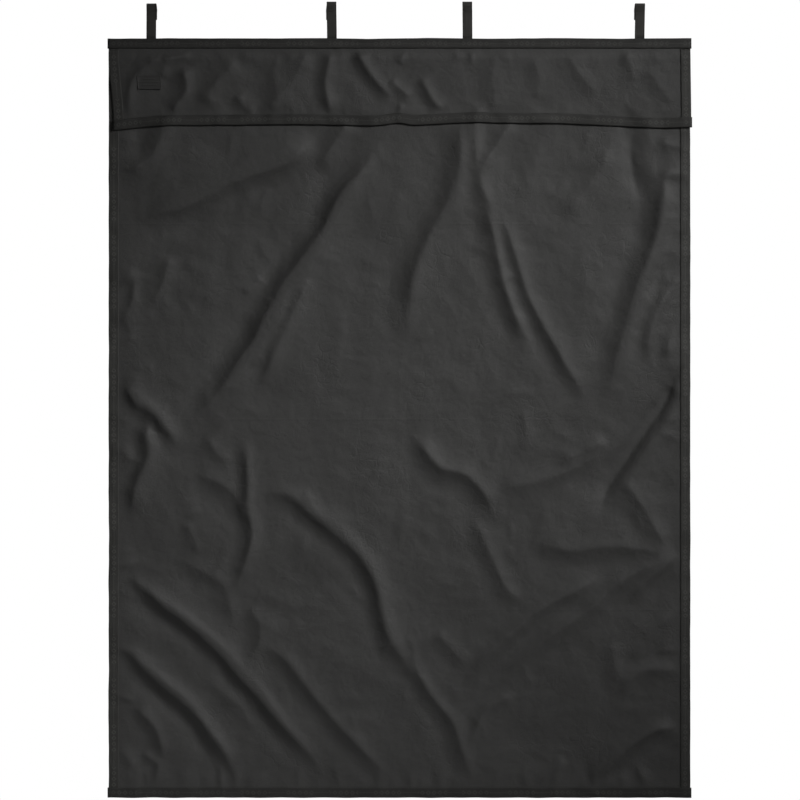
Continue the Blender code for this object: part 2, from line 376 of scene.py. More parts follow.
def addPiece(name, mesh, material):
    mesh.materials.clear()
    mesh.materials.append(material)
    mesh.shade_smooth()
    obj = bpy.data.objects.new(name, mesh)
    bpy.context.scene.collection.objects.link(obj)
    return obj


def bmeshPiece(name, bm, material):
    mesh = bpy.data.meshes.new(name)
    bm.to_mesh(mesh)
    bm.free()
    return addPiece(name, mesh, material)


def thin(obj, triangles):
    # spends the triangles where the cloth bends and saves them where it is flat
    count = sum(len(p.vertices) - 2 for p in obj.data.polygons)
    reduce = obj.modifiers.new("thin", "DECIMATE")
    reduce.ratio = triangles / count
    evaluated = obj.evaluated_get(bpy.context.evaluated_depsgraph_get())
    mesh = bpy.data.meshes.new_from_object(evaluated)
    obj.modifiers.clear()
    bm = bmesh.new()
    bm.from_mesh(mesh)
    axes = {"use_axis_x": True, "use_axis_y": True, "use_axis_z": True}
    for _ in range(12):  # slivers that the thinning has turned aside are eased flat
        bm.normal_update()
        turned = [v for v in bm.verts if any(f.normal.dot(v.normal) < 0.93 for f in v.link_faces)]
        if not turned:
            break
        bmesh.ops.smooth_vert(bm, verts=turned, factor=0.6, **axes)
    bm.to_mesh(mesh)
    bm.free()
    obj.data = mesh
    mesh.shade_smooth()


def addNode(material, kind, inputs=None, **settings):
    node = material.node_tree.nodes.new("ShaderNode" + kind)
    for key, value in settings.items():
        setattr(node, key, value)
    for key, value in (inputs or {}).items():
        if isinstance(value, bpy.types.NodeSocket):
            material.node_tree.links.new(value, node.inputs[key])
        else:
            node.inputs[key].default_value = value
    return node


def maths(material, operation, *values, clamp=False):
    inputs = dict(enumerate(values))
    return addNode(material, "Math", inputs, operation=operation, use_clamp=clamp).outputs[0]


def startMaterial(name, roughness, specular):
    material = bpy.data.materials.new(name)
    material.use_nodes = True
    shader = material.node_tree.nodes["Principled BSDF"]
    shader.inputs["Roughness"].default_value = roughness
    shader.inputs["Specular IOR Level"].default_value = specular
    return material, shader


def link(material, out, socket):
    material.node_tree.links.new(out, socket)


def mixColor(material, factor, first, second):
    node = addNode(material, "Mix", {0: factor, 6: first, 7: second}, data_type="RGBA")
    return node.outputs[2]


def bump(material, height, distance, strength=1.0, normal=None):
    inputs = {"Height": height, "Distance": distance, "Strength": strength}
    if normal is not None:
        inputs["Normal"] = normal
    return addNode(material, "Bump", inputs).outputs[0]


def toolsFor(material):
    # the five functions above, tied to one material
    return [partial(tool, material) for tool in (maths, addNode, link, mixColor, bump)]


clothLook = {
    "color": (0.0400, 0.0396, 0.0385, 1),
    "paler": (0.0540, 0.0535, 0.0520, 1),
    "roughness": 0.58,
    "weave": 0.0011,  # pitch of the threads
    "creases": ((24.0, 0.06, 0.0005), (46.0, 0.09, 0.0003)),  # cells in a metre, width, depth
    "packLines": (0.477, 0.980, 1.470),  # depths of the lines where it was folded for packing
}


def clothMaterial():
    material, shader = startMaterial("coated cloth", clothLook["roughness"], 0.22)
    calc, node, join, mixed, bumped = toolsFor(material)
    where = node("TexCoord").outputs["Object"]
    split = node("SeparateXYZ", {0: where})
    cloudy = node("TexNoise", {"Vector": where, "Scale": 9.0, "Detail": 6.0, "Roughness": 0.65})
    grain = node("TexNoise", {"Vector": where, "Scale": 420.0, "Detail": 2.0})
    tone = calc("MULTIPLY_ADD", grain.outputs[0], 0.55, calc("MULTIPLY", cloudy.outputs[0], 0.6))
    tone = calc("SUBTRACT", tone, 0.1, clamp=True)
    join(mixed(tone, clothLook["color"], clothLook["paler"]), shader.inputs["Base Color"])
    rough = calc("MULTIPLY_ADD", cloudy.outputs[0], 0.16, clothLook["roughness"] - 0.08)
    join(rough, shader.inputs["Roughness"])
    # plain weave, crossing threads
    turn = 2 * math.pi / clothLook["weave"]
    warp = calc("SINE", calc("MULTIPLY", split.outputs[0], turn))
    weft = calc("SINE", calc("MULTIPLY", split.outputs[2], turn))
    weave = calc("MULTIPLY", warp, weft)
    normal = bumped(weave, 0.00006)
    # fine crumples, too small to model
    warped = node("TexNoise", {"Vector": where, "Scale": 22.0, "Detail": 3.0})
    shifted = node(
        "VectorMath", {0: warped.outputs["Color"], 1: (0.05, 0.05, 0.05)}, operation="MULTIPLY"
    )
    moved = node("VectorMath", {0: where, 1: shifted.outputs[0]}, operation="ADD").outputs[0]
    cracked = node(
        "TexVoronoi", {"Vector": moved, "Scale": 26.0}, feature="DISTANCE_TO_EDGE"
    )
    facets = calc("MINIMUM", cracked.outputs["Distance"], 0.25)
    normal = bumped(facets, 0.0028, 0.3, normal)
    # thin sharp creases in patches
    patchy = node("TexNoise", {"Vector": where, "Scale": 7.0, "Detail": 3.0})
    inPatch = calc("MULTIPLY", calc("SUBTRACT", patchy.outputs[0], 0.5), 7.0, clamp=True)
    for scale, width, depth in clothLook["creases"]:
        cells = node("TexVoronoi", {"Vector": moved, "Scale": scale}, feature="DISTANCE_TO_EDGE")
        cut = calc("SUBTRACT", 1.0, calc("DIVIDE", cells.outputs["Distance"], width), clamp=True)
        normal = bumped(calc("MULTIPLY", cut, inPatch), -depth, 0.6, normal)
    small = node("TexNoise", {"Vector": where, "Scale": 60.0, "Detail": 5.0, "Roughness": 0.6})
    normal = bumped(small.outputs[0], 0.0013, 0.7, normal)
    # packing lines: short stretches of a thin crease
    broken = node("TexNoise", {"Vector": where, "Scale": 5.0, "Detail": 2.0})
    shown = calc("GREATER_THAN", broken.outputs[0], 0.47)
    lines = calc("ADD", calc("ABSOLUTE", split.outputs[0]), 0.0017)
    for depth in clothLook["packLines"]:
        lineZ = place["topZ"] - depth
        away = calc("ABSOLUTE", calc("SUBTRACT", split.outputs[2], lineZ))
        lines = calc("MINIMUM", lines, away)
    groove = calc("SUBTRACT", 1.0, calc("DIVIDE", lines, 0.0035), clamp=True)
    groove = calc("MULTIPLY", groove, shown)
    normal = bumped(groove, 0.0006, 0.3, normal)
    join(normal, shader.inputs["Normal"])
    return material


tapeLook = {
    "color": (0.0165, 0.0163, 0.0150, 1),
    "motif": (0.0600, 0.0592, 0.0550, 1),
    "pitch": 0.0150,  # length of one lozenge of the woven band
    "motifHalf": 0.0070,
    "run": 5,  # lozenges in a row, then a plain dash up to the repeat
    "repeat": 0.114,
}


def tapeMaterial(name, shade):
    material, shader = startMaterial(name, 0.64, 0.3)
    calc, node, join, mixed, bumped = toolsFor(material)
    where = node("UVMap", uv_map="pattern").outputs[0]
    split = node("SeparateXYZ", {0: where})
    u, v = split.outputs[0], split.outputs[1]
    width = place["tapeWidth"]
    across = calc("PINGPONG", v, width)  # the same pattern on both legs of the fold
    centre = calc("ABSOLUTE", calc("SUBTRACT", across, width / 2))
    halfPitch = tapeLook["pitch"] / 2
    zigzag = calc("DIVIDE", calc("PINGPONG", u, halfPitch), halfPitch)
    spread = calc("ADD", zigzag, calc("DIVIDE", centre, tapeLook["motifHalf"]))
    lozenge = calc("MULTIPLY", calc("SUBTRACT", 1.0, spread), 6.0, clamp=True)
    hollow = calc("MULTIPLY", calc("SUBTRACT", 0.45, spread), 8.0, clamp=True)
    motif = calc("SUBTRACT", lozenge, hollow, clamp=True)
    along = calc("MODULO", u, tapeLook["repeat"])
    inRun = calc("LESS_THAN", along, tapeLook["run"] * tapeLook["pitch"])
    dash = calc("MULTIPLY", calc("SUBTRACT", 1.0, inRun), 0.6)
    dash = calc("MULTIPLY", dash, calc("LESS_THAN", centre, 0.0012))
    motif = calc("MULTIPLY_ADD", motif, inRun, dash)
    grain = node("TexNoise", {"Vector": where, "Scale": 500.0, "Detail": 2.0})
    cloudy = node("TexNoise", {"Vector": where, "Scale": 16.0, "Detail": 4.0})
    tone = calc("MULTIPLY_ADD", motif, 0.5, calc("MULTIPLY", grain.outputs[0], 0.35))
    tone = calc("SUBTRACT", calc("MULTIPLY_ADD", cloudy.outputs[0], 0.7, tone), 0.2, clamp=True)
    # shade scales the tape colour; the side tapes' paler copy is painted light
    colors = [(*(c * shade for c in tapeLook[key][:3]), 1) for key in ("color", "motif")]
    join(mixed(tone, *colors), shader.inputs["Base Color"])
    ribs = calc("SINE", calc("MULTIPLY", u, 2 * math.pi / 0.0012))
    cross = calc("SINE", calc("MULTIPLY", v, 2 * math.pi / 0.0016))
    normal = bumped(calc("MULTIPLY", ribs, cross), 0.0001)
    normal = bumped(motif, 0.00025, 0.8, normal)
    normal = bumped(cloudy.outputs[0], 0.0012, 0.6, normal)
    join(normal, shader.inputs["Normal"])
    return material


webbingLook = {
    "color": (0.0284, 0.0273, 0.0248, 1),
    "paler": (0.0837, 0.0807, 0.0743, 1),
    # near-black colour painted along the strap's edges: painted shade where the webbing rounds over
    "paintedEdgeShade": (0.0108, 0.0103, 0.0095, 1),
    "rib": 0.0021,
}


def webbingMaterial():
    material, shader = startMaterial("strap webbing", 0.66, 0.32)
    calc, node, join, mixed, bumped = toolsFor(material)
    where = node("UVMap", uv_map="pattern").outputs[0]
    split = node("SeparateXYZ", {0: where})
    u, v = split.outputs[0], split.outputs[1]
    slant = calc("MULTIPLY", calc("PINGPONG", v, 0.0042), 0.9)
    rib = 2 * math.pi / webbingLook["rib"]
    ribs = calc("SINE", calc("MULTIPLY", calc("ADD", u, slant), rib))
    ends = calc("SINE", calc("MULTIPLY", v, 2 * math.pi / 0.0014))
    grain = node("TexNoise", {"Vector": where, "Scale": 300.0, "Detail": 3.0})
    worn = node("TexNoise", {"Vector": where, "Scale": 45.0, "Detail": 3.0})
    tone = calc("MULTIPLY_ADD", ribs, 0.16, calc("MULTIPLY", grain.outputs[0], 0.5))
    tone = calc("MULTIPLY_ADD", worn.outputs[0], 0.45, tone)
    # both edges of the strap are painted near black: painted shade for the rounded edges
    middle = calc("ABSOLUTE", calc("SUBTRACT", v, place["halfWebbing"]))
    paintedEdgeShade = calc("MULTIPLY", calc("SUBTRACT", middle, 0.0098), 450.0, clamp=True)
    tone = calc("SUBTRACT", tone, 0.1, clamp=True)
    body = mixed(tone, webbingLook["color"], webbingLook["paler"])
    join(mixed(paintedEdgeShade, body, webbingLook["paintedEdgeShade"]), shader.inputs["Base Color"])
    normal = bumped(ribs, 0.00035)
    normal = bumped(ends, 0.00008, 1.0, normal)
    normal = bumped(worn.outputs[0], 0.0006, 0.5, normal)
    join(normal, shader.inputs["Normal"])
    return material


def plainFibre(name, color, paler, roughness, scale, distance):
    # fuzzy or knobbly textile: thread, label cloth, touch-fastener piles
    material, shader = startMaterial(name, roughness, 0.3)
    where = addNode(material, "TexCoord").outputs["Object"]
    fuzz = addNode(material, "TexNoise", {"Vector": where, "Scale": scale, "Detail": 4.0, "Roughness": 0.7})
    link(material, mixColor(material, fuzz.outputs[0], color, paler), shader.inputs["Base Color"])
    link(material, bump(material, fuzz.outputs[0], distance), shader.inputs["Normal"])
    return material


clothFabric = clothMaterial()
# one tape colour in two copies: the side tapes' paler copy is painted light, standing in for how the light
# falls on the upright tapes
tapeFabric = tapeMaterial("binding tape", 0.74)
litSideTapeFabric = tapeMaterial("side binding tape painted lighter", 1.08)
webbingFabric = webbingMaterial()
# darker color, paler color, roughness, scale and depth of the fuzz
fibreLook = {
    "label cloth": ((0.026, 0.0255, 0.0245, 1), (0.046, 0.0455, 0.044, 1), 0.5, 900, 0.0002),
    "sewing thread": ((0.012, 0.012, 0.0115, 1), (0.03, 0.03, 0.028, 1), 0.55, 1500, 0.0001),
    "loop pile": ((0.008, 0.008, 0.008, 1), (0.028, 0.028, 0.028, 1), 0.9, 1400, 0.0008),
    "hook pile": ((0.010, 0.010, 0.010, 1), (0.030, 0.030, 0.030, 1), 0.5, 1100, 0.0006),
}
fibres = [plainFibre(name, *look) for name, look in fibreLook.items()]
labelFabric, threadFabric, loopFabric, hookFabric = fibres
print("materials made")


def makeMainPanel():
    halfWidth, height = place["halfWidth"] - 0.0015, place["height"] - 0.003

    def shape(across, along):
        x, d = (2 * across - 1) * halfWidth, 0.0015 + (1 - along) * height
        px, py, pz = mainPoint(x, d)
        return px, py, pz, x, d

    columns, rows = round(2 * halfWidth / mainSheet["cell"]), round(height / mainSheet["cell"])
    sheet = gridPiece("mainPanel", columns, rows, shape, clothFabric)
    thin(sheet, mainSheet["triangles"])
    solid = sheet.modifiers.new("thickness", "SOLIDIFY")
    solid.thickness = mainSheet["thickness"]
    solid.offset = 0.0
    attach(sheet, "curtain")
    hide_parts("main_panel")
    return sheet


flapSheet = {
    "cell": 0.0038,
    "thickness": 0.0009,
    "tucked": 0.017,  # depth of its top edge, under the top binding
    "tuckedClear": 0.0011,  # clear of the main sheet there
    "standOff": 0.0050,  # and below the fold
    "slips": (0.013, 0.002),  # how far its lower corners hang in, left and right
    "gain": 1.15,
    "broad": ((0.2, 0.0013, 61), (0.08, 0.0008, 62), (0.036, 0.0004, 63)),
    "atTop": (0.0, 0.022, 0.03),  # share of the rise, growing from here, over this far
    "atHem": (0.35, 0.02, 0.03),
    "atSides": (0.35, 0.02, 0.04),
    "puckers": {
        "seed": 31,
        "rows": ((62, 0.02, (0.045, 0.09)), (50, 0.225, (0.13, 0.18))),  # how many, start depth, end depths
        "heights": (0.3, 1.0),
        "widths": (6, 10),
        "slant": 0.01,
    },
    "stray": (32, 30, (-0.7, 0.05), (0.7, 0.2), (0.2, 0.5), (0.04, 0.1)),
    # lower edge: across, depth
    "edge": [(-0.76, 0.237), (-0.732, 0.235), (-0.67, 0.228), (-0.603, 0.224), (-0.43, 0.2225),
             (-0.256, 0.221), (-0.12, 0.2235), (-0.06, 0.224), (0.001, 0.2175), (0.04, 0.2225), (0.12, 0.219),
             (0.2045, 0.216), (0.31, 0.218), (0.413, 0.2187), (0.52, 0.223), (0.596, 0.2264),
             (0.65, 0.2295), (0.76, 0.2285)],
    "folds": [
        (3.2, 11, 14, [(-0.6, 0.03), (-0.64, 0.055), (-0.68, 0.085), (-0.703, 0.125), (-0.706, 0.21)]),
        (5.0, 13, 15, [(-0.57, 0.07), (-0.562, 0.105), (-0.56, 0.135), (-0.585, 0.17), (-0.6, 0.205)]),
        (2.6, 8, 10, [(-0.61, 0.068), (-0.585, 0.059), (-0.56, 0.053), (-0.53, 0.043)]),
        (3.6, 20, 24, [(-0.255, 0.025), (-0.27, 0.06), (-0.29, 0.1), (-0.33, 0.145), (-0.38, 0.19)]),
        (2.8, 16, 18, [(-0.43, 0.04), (-0.455, 0.075), (-0.49, 0.115), (-0.503, 0.158), (-0.49, 0.2)]),
        (1.6, 9, 11, [(-0.62, 0.05), (-0.613, 0.08), (-0.62, 0.1)]),
        (2.4, 10, 12, [(-0.43, 0.15), (-0.41, 0.175), (-0.385, 0.205)]),
        (2.2, 18, 22, [(-0.53, 0.16), (-0.5, 0.12), (-0.45, 0.085), (-0.42, 0.05)]),
        (4.2, 10, 14, [(-0.18, 0.02), (-0.19, 0.06), (-0.2, 0.115), (-0.193, 0.16), (-0.185, 0.21)]),
        (4.4, 10, 14, [(-0.12, 0.025), (-0.105, 0.06), (-0.08, 0.1), (-0.045, 0.14), (-0.02, 0.165)]),
        (2.4, 8, 10, [(-0.03, 0.11), (-0.01, 0.13), (0.025, 0.16)]),
        (3.2, 9, 12, [(0.045, 0.1), (0.06, 0.13), (0.08, 0.165), (0.11, 0.195)]),
        (2.0, 6, 8, [(-0.003, 0.165), (-0.005, 0.19), (-0.005, 0.22)]),
        (1.8, 7, 9, [(0.01, 0.02), (0.003, 0.04), (-0.01, 0.065)]),
        (2.2, 13, 17, [(0.42, 0.04), (0.435, 0.07), (0.455, 0.1), (0.48, 0.13), (0.51, 0.16)]),
        (1.6, 11, 14, [(0.63, 0.08), (0.65, 0.115), (0.67, 0.145), (0.7, 0.18)]),
        (1.8, 16, 20, [(0.24, 0.03), (0.225, 0.09), (0.23, 0.15), (0.215, 0.2)]),
        (1.6, 14, 18, [(0.33, 0.05), (0.345, 0.1), (0.335, 0.16)]),
        (1.8, 14, 18, [(-0.32, 0.03), (-0.335, 0.09), (-0.325, 0.16), (-0.34, 0.2)]),
        (1.6, 12, 15, [(0.575, 0.03), (0.585, 0.08), (0.6, 0.12)]),
    ],
}
flapEdge = smoothRoute(flapSheet["edge"], 0.01)


def flapPuckers(look):
    # puckers that run down from the top binding and up from the hem
    rng = np.random.default_rng(look["seed"])
    found = []
    for count, start, ends in look["rows"]:
        for x in rng.uniform(-0.72, 0.72, count):
            height, width = rng.uniform(*look["heights"]), rng.uniform(*look["widths"])
            end = rng.uniform(*ends)
            route = [(x, start), (x + rng.normal(0, look["slant"]), end)]
            found.append((height, width, width * litShare, route))
    return found


flapExtras = flapPuckers(flapSheet["puckers"]) + strayFolds(*flapSheet["stray"])


def flapBottom(x):
    return np.interp(x, flapEdge[:, 0], flapEdge[:, 1])


def flapRise(x, d):
    # how far the flap stands forward of its place over the main sheet
    shape = x.shape
    x, d = x.ravel(), d.ravel()
    rise = np.zeros(len(x))
    for fold in flapSheet["folds"]:
        addFold(rise, x, d, fold, 0.2, 0.25, flapSheet["gain"])
    for fold in flapExtras:
        addFold(rise, x, d, fold, 0.15, 0.6)
    for cell, height, seed in flapSheet["broad"]:
        rise += height * softNoise(x, d, cell, seed)
    hem = grow(flapBottom(x) - d, *flapSheet["atHem"])
    rise *= grow(d, *flapSheet["atTop"]) * hem * grow(place["halfWidth"] - np.abs(x), *flapSheet["atSides"])
    return np.maximum(rise, -0.0022).reshape(shape)  # it can't sink into the main sheet


def flapPoint(across, down, forward=0.0):
    # across in metres along the flap, down from 0 at its tucked edge to 1 at its lower edge
    tucked, tuckedClear = flapSheet["tucked"], flapSheet["tuckedClear"]
    d = tucked + down * (flapBottom(across) - tucked)
    left, right = flapSheet["slips"]
    drawn = ease((d - 0.03) / 0.19)
    x = across + drawn * (left * ease((-0.45 - across) / 0.3) + right * ease((across - 0.6) / 0.15))
    clear = tuckedClear + (flapSheet["standOff"] - tuckedClear) * ease((d - 0.026) / 0.03)
    y = place["clothY"] - mainRise(x, d) - clear - flapRise(x, d) - forward
    return x, y, place["topZ"] - d


def hemShare(across, up):
    # how far down the flap a point is that lies this far up from its lower edge, from 0 to 1
    bottom = flapBottom(across)
    return (bottom - up - flapSheet["tucked"]) / (bottom - flapSheet["tucked"])


def bendFlap(obj):
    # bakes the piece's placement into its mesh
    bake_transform(obj)


def makeFlapPanel():
    halfWidth = place["halfWidth"] - 0.0015

    def shape(across, along):
        x = (2 * across - 1) * halfWidth
        px, py, pz = flapPoint(x, (1 - along) * 0.993)
        return px, py, pz, x, pz

    cell = flapSheet["cell"]
    columns, rows = round(2 * halfWidth / cell), round(0.205 / cell)
    sheet = gridPiece("flapPanel", columns, rows, shape, clothFabric, flapSheet["thickness"])
    bendFlap(sheet)
    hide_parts("flap_panel")
    return sheet


mainPanel = makeMainPanel()
print("main panel made")
flapPanel = makeFlapPanel()
print("flap made")


binding = {
    "thickness": 0.0008,
    "clear": 0.00105,  # from the middle of the cloth to the middle of a leg
    "cell": 0.007,
    "crossing": 0.0008,  # how much prouder it is where it lies over a side tape
    "ease": 0.0006,  # how far a side tape's outer edge lies in
    # front half of the fold's section: share of the width in from the outer edge, and side of the cloth
    "section": ((1.0, -1.0), (0.85, -1.0), (0.68, -1.0), (0.5, -1.0), (0.32, -1.0), (0.16, -1.0),
                (0.07, -0.97), (0.025, -0.78), (0.005, -0.4)),
}
frontLeg = binding["section"]
section = [*frontLeg, (0.0, 0.0), *((inset, -side) for inset, side in reversed(frontLeg))]
sectionIn, sectionSide = np.array(section).T
sectionRun = np.linspace(0, 1, len(sectionIn))


def foldedTape(name, length, shape, node, fabric):
    # shape(along, inset, side) gives x, y, z; the pattern runs along the tape and round its fold
    def layTape(across, along):
        inset = np.interp(across, sectionRun, sectionIn) * place["tapeWidth"]
        side = np.interp(across, sectionRun, sectionSide)
        x, y, z = shape(along, inset, side)
        aroundFold = np.where(side < 0, place["tapeWidth"] - inset, place["tapeWidth"] + inset)
        return x, y, z, along * length, aroundFold

    rows = round(length / binding["cell"])
    tape = gridPiece(name, len(sectionIn) - 1, rows, layTape, fabric, binding["thickness"])
    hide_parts(node)
    return tape


def wave(t, seed, height, cell=0.055):
    return height * softNoise(t, np.zeros_like(t), cell, seed)


def legRipple(along, inset, seed):
    return 0.0005 * softNoise(along, inset, 0.024, seed) + 0.0003 * softNoise(along, inset, 0.011, seed + 1)


def crossing(x):
    # the tape stands prouder near its ends, over the side tapes
    over = np.abs(x) - (place["halfWidth"] - place["tapeWidth"] - 0.003)
    return ease(over / 0.006) * binding["crossing"]


def makeTopBinding():
    width = place["tapeWidth"]
    strapX = [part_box(f"strap_{n}")[0].x + place["halfWebbing"] for n in (1, 2, 3, 4)]

    def shape(along, inset, side):
        x = (2 * along - 1) * place["halfRun"]
        d = inset + (wave(x, 71, 0.0006) + wave(x, 73, 0.0012, 0.16)) * (1 - inset / width)
        overFlap = binding["clear"] * ease((inset - 0.012) / 0.008)
        overStraps = sum(np.exp(-(((x - sx) / 0.0165) ** 8)) for sx in strapX) * 0.0006
        out = binding["clear"] + crossing(x) + np.where(side < 0, overFlap + overStraps, 0)
        y = place["clothY"] - mainRise(x, np.maximum(d, 0.001)) + side * (out + legRipple(x, inset, 72))
        return x, y, place["topZ"] - d

    tape = foldedTape("topBinding", 2 * place["halfRun"], shape, "top_binding", tapeFabric)
    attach(tape, "curtain")
    return tape


def makeBottomBinding():
    width = place["tapeWidth"]

    def shape(along, inset, side):
        x = (2 * along - 1) * place["halfRun"]
        d = place["height"] - inset - (0.0008 + wave(x, 75, 0.0009)) * (1 - 0.5 * inset / width)
        out = binding["clear"] + crossing(x) + legRipple(x, inset, 76)
        y = place["clothY"] - mainRise(x, d) + side * out
        return x, y, place["topZ"] - d

    tape = foldedTape("bottomBinding", 2 * place["halfRun"], shape, "bottom_binding", tapeFabric)
    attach(tape, "curtain")
    return tape


def makeSideBinding(name, node, sign, seed):
    def shape(along, inset, side):
        d = 0.004 + (1 - along) * (place["height"] - 0.008)
        drawn = wave(d, seed, 0.0007) + wave(d, seed + 2, 0.0011, 0.15)
        drawn = drawn * (1 - inset / place["tapeWidth"])
        x = sign * (place["halfWidth"] - inset - binding["ease"] - drawn)
        y = place["clothY"] - mainRise(x, d) + side * (binding["clear"] + legRipple(d, inset, seed + 1))
        return x, y, place["topZ"] - d

    tape = foldedTape(name, place["height"] - 0.008, shape, node, litSideTapeFabric)
    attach(tape, "curtain")
    return tape


def makeFlapBottomBinding():
    span = place["halfRun"] - 0.0005

    def shape(along, inset, side):
        across = (2 * along - 1) * span
        x, y, z = flapPoint(across, hemShare(across, inset))
        y = y + side * (binding["clear"] + crossing(across)) + legRipple(across, inset, 82) * side
        return x, y, z + wave(across, 83, 0.0009) * (1 - inset / place["tapeWidth"])

    tape = foldedTape("flapBottomBinding", 2 * span, shape, "flap_bottom_binding", tapeFabric)
    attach(tape, "flap")
    return tape


def makeFlapSideBinding(name, node, sign, seed):
    def shape(along, inset, side):
        down = 0.05 + (1 - along) * 0.94
        across = sign * (place["halfWidth"] - inset - 0.0004)
        x, y, z = flapPoint(across, down)
        return x, y + side * binding["clear"] + legRipple(z, inset, seed) * side, z

    tape = foldedTape(name, 0.2, shape, node, litSideTapeFabric)
    bendFlap(tape)
    return tape


topBinding = makeTopBinding()
bottomBinding = makeBottomBinding()
leftBinding = makeSideBinding("leftBinding", "left_binding", -1, 85)
rightBinding = makeSideBinding("rightBinding", "right_binding", 1, 88)
flapBottomBinding = makeFlapBottomBinding()
flapLeftBinding = makeFlapSideBinding("flapLeftBinding", "flap_left_binding", -1, 91)
flapRightBinding = makeFlapSideBinding("flapRightBinding", "flap_right_binding", 1, 93)
print("bindings made")


stitch = {
    "pitch": 0.0042,
    "radius": 0.00034,
    "inFromEdge": 0.0024,  # from a tape's inner edge to its seam
    "dive": 0.0007,  # how deep the thread goes between two stitches
    "proud": 0.0001,  # from a tape's face to the thread's centreline
}


def addStitch(bm, at, heading, radius, length):
    # one stitch on its own: a slim bead lying along its heading
    turn = Vector(heading).normalized().to_track_quat("Z", "Y").to_matrix().to_4x4()
    lying = Matrix.Translation(at) @ turn @ Matrix.Diagonal((radius, radius, length / 2, 1))
    bmesh.ops.create_uvsphere(bm, u_segments=5, v_segments=4, radius=1.0, matrix=lying)


def seamThread(name, count, point, sink):
    # A row of stitches as one thread that swells at each stitch and dives into the tape between them.
    # point(t) takes an array from 0 to 1 and gives x, y, z. sink is the way into the tape, -1 or 1 along Y.
    def shape(across, along):
        x, y, z = point(along)
        phase = np.abs((along * count) % 1.0 - 0.5) * 2
        body = np.sqrt(np.clip(1 - phase**4, 0, 1))
        radius = stitch["radius"] * (0.18 + 0.82 * body)
        angle = 2 * np.pi * across
        upright = abs(np.ptp(z)) > abs(np.ptp(x))
        sideways = radius * np.cos(angle)
        y = y + radius * np.sin(angle) + sink * stitch["dive"] * (1 - body)
        return x + (sideways if upright else 0), y, z + (0 if upright else sideways), along, across

    thread = gridPiece(name, 5, count * 4, shape, threadFabric)
    bm = bmesh.new()
    bm.from_mesh(thread.data)
    bmesh.ops.remove_doubles(bm, verts=bm.verts, dist=0.00002)
    bmesh.ops.holes_fill(bm, edges=bm.edges, sides=5)
    bmesh.ops.recalc_face_normals(bm, faces=bm.faces)
    bm.to_mesh(thread.data)
    bm.free()
    return thread


def stitchCount(length):
    return round(length / stitch["pitch"])


def makeCurtainSeams():
    inset = place["tapeWidth"] - stitch["inFromEdge"]
    face = binding["clear"] + binding["thickness"] / 2 + stitch["proud"]
    high, low = 0.02, place["height"] - 0.02
    for side, sideName in ((-1, "Front"), (1, "Back")):

        def upright(edge):
            def point(t):
                d = high + t * (low - high)
                x = np.full_like(t, edge)
                return x, place["clothY"] - mainRise(x, d) + side * face, place["topZ"] - d

            return point

        def level(depth, extra):
            def point(t):
                x = (2 * t - 1) * (place["halfRun"] - 0.003)
                d = np.full_like(t, depth)
                return x, place["clothY"] - mainRise(x, d) + side * (face + extra), place["topZ"] - d

            return point

        edge = place["halfWidth"] - binding["ease"] - inset
        rows = {
            "left": (low - high, upright(-edge)),
            "right": (low - high, upright(edge)),
            "top": (2 * place["halfRun"], level(inset, binding["clear"] if side < 0 else 0.0)),
            "bottom": (2 * place["halfRun"], level(place["height"] - inset - 0.0012, 0.0)),
        }
        for name, (length, point) in rows.items():
            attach(seamThread(f"{name}Seam{sideName}", stitchCount(length), point, -side), "curtain")


def makeFlapSeams():
    inset = place["tapeWidth"] - stitch["inFromEdge"]
    face = binding["clear"] + binding["thickness"] / 2 + stitch["proud"]

    def level(side):
        def point(t):
            across = (2 * t - 1) * (place["halfRun"] - 0.003)
            x, y, z = flapPoint(across, hemShare(across, inset))
            return x, y + side * face, z

        return point

    def upright(side, sign):
        def point(t):
            across = np.full_like(t, sign * (place["halfWidth"] - 0.0004 - inset))
            x, y, z = flapPoint(across, 0.08 + 0.8 * t)
            return x, y + side * face, z

        return point

    for side, sideName in ((-1, "Front"), (1, "Back")):
        count = stitchCount(2 * place["halfRun"])
        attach(seamThread(f"flapHemSeam{sideName}", count, level(side), -side), "flap")
        for sign, hand in ((-1, "Left"), (1, "Right")):
            name = f"flap{hand}Seam{sideName}"
            bendFlap(seamThread(name, stitchCount(0.165), upright(side, sign), -side))


makeCurtainSeams()
makeFlapSeams()
print("seams sewn")


labelPatch = {
    "border": 0.0022,
    "raise": 0.00035,
    "bars": ((0.30, 0.62), (0.52, 0.88), (0.72, 0.50)),  # share of the height, share of the width
}


def makeLabel():
    low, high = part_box("label_patch")
    width, height = high.x - low.x, high.z - low.z
    base = 0.0005 + 0.00045

    def lift(x, z):
        # label height over the flap: a woven border and plain bars stand a little proud
        a, b = (x - low.x), (z - low.z)
        rim = np.minimum(np.minimum(a, width - a), np.minimum(b, height - b))
        up = 1 - ease((rim - labelPatch["border"]) / 0.0006)
        for share, long in labelPatch["bars"]:
            inBar = ease((0.0016 - np.abs(b - share * height)) / 0.0006)
            inBar = inBar * ease((long * width / 2 - np.abs(a - width / 2)) / 0.0008)
            up = np.maximum(up, inBar)
        return base + labelPatch["raise"] * up

    def shape(across, along):
        x, z = low.x + across * width, low.z + along * height
        px, py, pz = flapPoint(x, hemShare(x, flapBottom(x) - (place["topZ"] - z)))
        flat = 0.3 * (py - py.mean()) + py.mean() - 0.001
        return px, np.minimum(py, flat) - lift(x, z), pz, x, z

    patch = gridPiece("labelPatch", 96, 56, shape, labelFabric, 0.0009)
    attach(patch, "flap")
    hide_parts("label_patch")


makeLabel()
print("label made")


